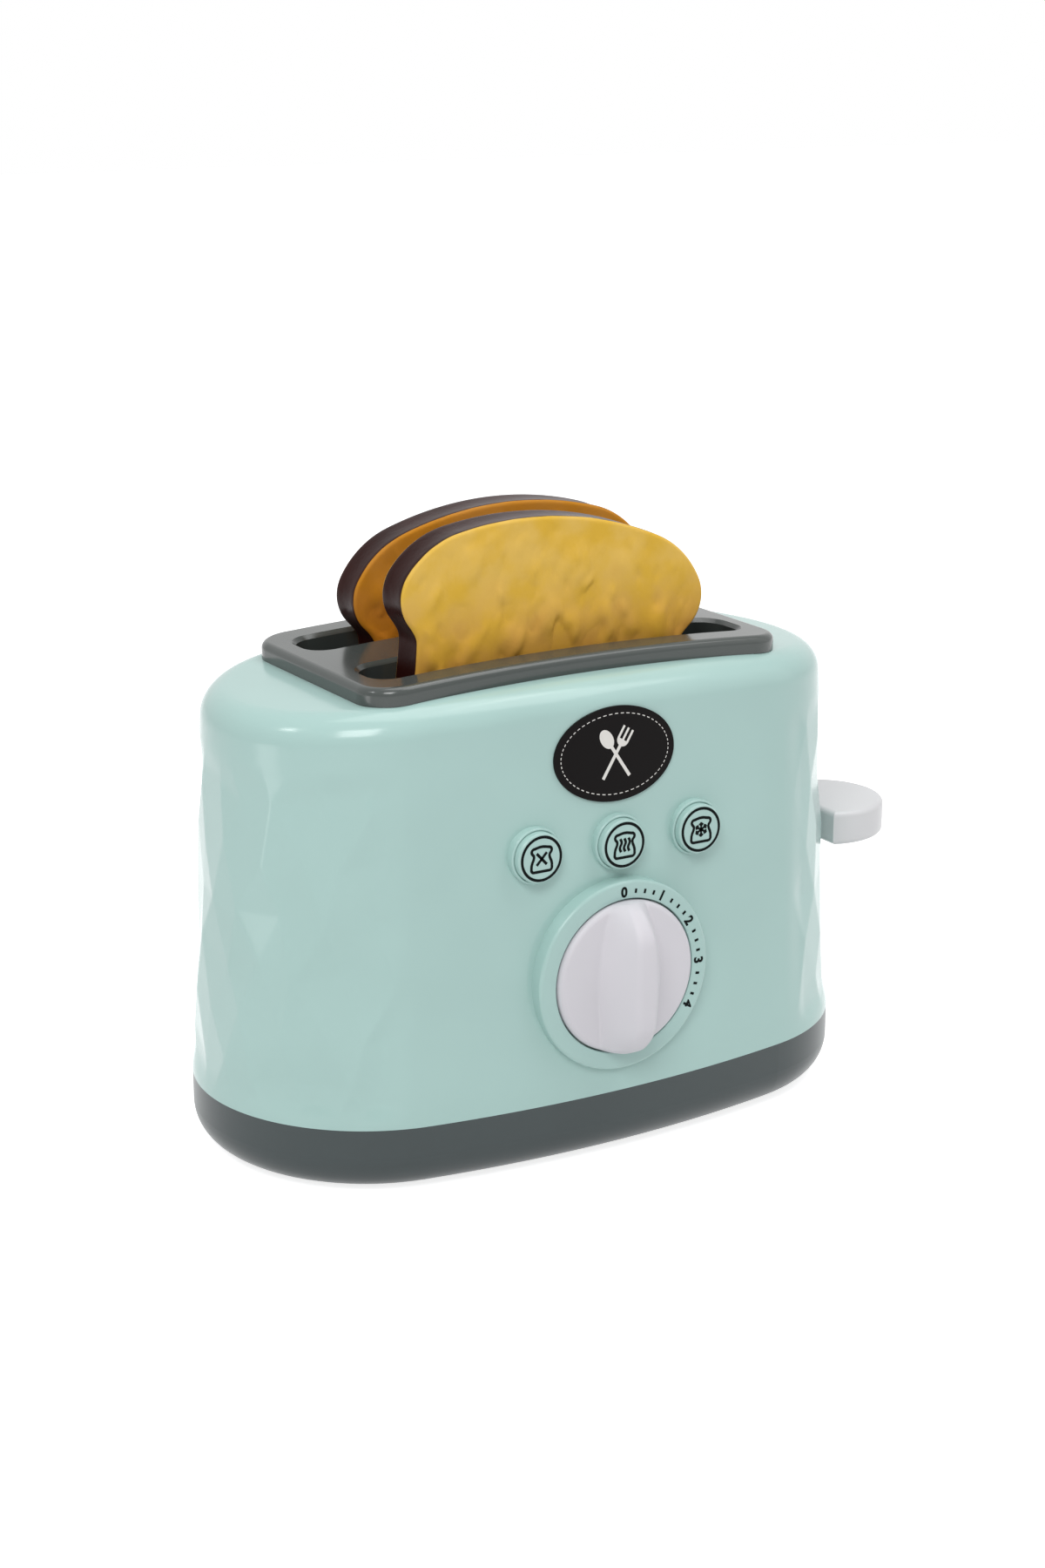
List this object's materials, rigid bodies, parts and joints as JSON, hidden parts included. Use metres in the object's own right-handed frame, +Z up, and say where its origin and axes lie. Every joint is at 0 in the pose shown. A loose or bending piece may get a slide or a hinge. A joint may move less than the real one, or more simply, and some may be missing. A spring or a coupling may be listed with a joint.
{
  "type": "toy toaster",
  "caption": "Toy pop-up toaster: domed housing on a base tray, sprung side lever and carriage that lift the toy bread out of its slots, wind-up dial and sprung press buttons",
  "frame": {"origin": "On the surface that the foot pads stand on, straight below the middle of the housing and midway between the bread slots", "axes": "+Z up; +X along the slots, out through the end with the lever; -Y out through the side with the dial and buttons"},
  "size_m": [0.2165, 0.1197, 0.1683],
  "materials": {
    "mint": "glossy moulded",
    "base_grey": "glossy moulded",
    "bezel_grey": "glossy moulded",
    "pale_grey": "glossy moulded",
    "lever_white": "glossy moulded",
    "badge_black": "glossy label",
    "foot_rubber": "matt",
    "dome_rubber": "matt",
    "screw_steel": "plated",
    "rod_steel": "ground",
    "inner_plastic": "matt moulded",
    "toast": "satin painted"
  },
  "bodies": {
    "housing": {"base_tray": "base_grey", "foot_pads": "foot_rubber", "base_screws": "screw_steel", "body_shell": "mint", "badge_plate": "badge_black", "top_bezel": "bezel_grey", "guide_rods": "rod_steel", "timer_case": "inner_plastic", "inner_screws": "screw_steel", "button_plate": "inner_plastic", "button_dome_left": "dome_rubber", "button_dome_middle": "dome_rubber", "button_dome_right": "dome_rubber", "return_spring_left": "rod_steel", "return_spring_right": "rod_steel"},
    "carriage": {"carriage": "inner_plastic", "lever_arm": "lever_white", "lever_paddle": "lever_white", "lever_screws": "screw_steel"},
    "knob": {"knob_shaft": "inner_plastic", "timer_knob": "pale_grey"},
    "button_left": {"button_left": "mint"},
    "button_middle": {"button_middle": "mint"},
    "button_right": {"button_right": "mint"},
    "slice_front": {"slice_front": "toast"},
    "slice_rear": {"slice_rear": "toast"}
  },
  "joints": [
    {"name": "lever_slide", "type": "slide", "parent": "housing", "child": "carriage", "axis": [0, 0, 1], "range_m": [-0.038, 0], "stiffness_N_per_m": 60, "springref_m": 0.055, "deforming": ["return_spring_left", "return_spring_right"]},
    {"name": "dial_turn", "type": "hinge", "parent": "housing", "child": "knob", "pos_m": [0, -0.0545, 0.0513], "axis": [0, 1, 0], "range_deg": [0, 124], "stiffness_Nm_per_rad": 0.006},
    {"name": "button_press_left", "type": "slide", "parent": "housing", "child": "button_left", "axis": [0, 1, 0], "range_m": [0, 0.002], "stiffness_N_per_m": 250, "springref_m": -0.002, "deforming": ["button_dome_left"]},
    {"name": "button_press_middle", "type": "slide", "parent": "housing", "child": "button_middle", "axis": [0, 1, 0], "range_m": [0, 0.002], "stiffness_N_per_m": 250, "springref_m": -0.002, "deforming": ["button_dome_middle"]},
    {"name": "button_press_right", "type": "slide", "parent": "housing", "child": "button_right", "axis": [0, 1, 0], "range_m": [0, 0.002], "stiffness_N_per_m": 250, "springref_m": -0.002, "deforming": ["button_dome_right"]},
    {"name": "front_slice_lift", "type": "slide", "parent": "carriage", "child": "slice_front", "axis": [0, 0, 1], "range_m": [0, 0.06]},
    {"name": "rear_slice_lift", "type": "slide", "parent": "carriage", "child": "slice_rear", "axis": [0, 0, 1], "range_m": [0, 0.06]}
  ]
}
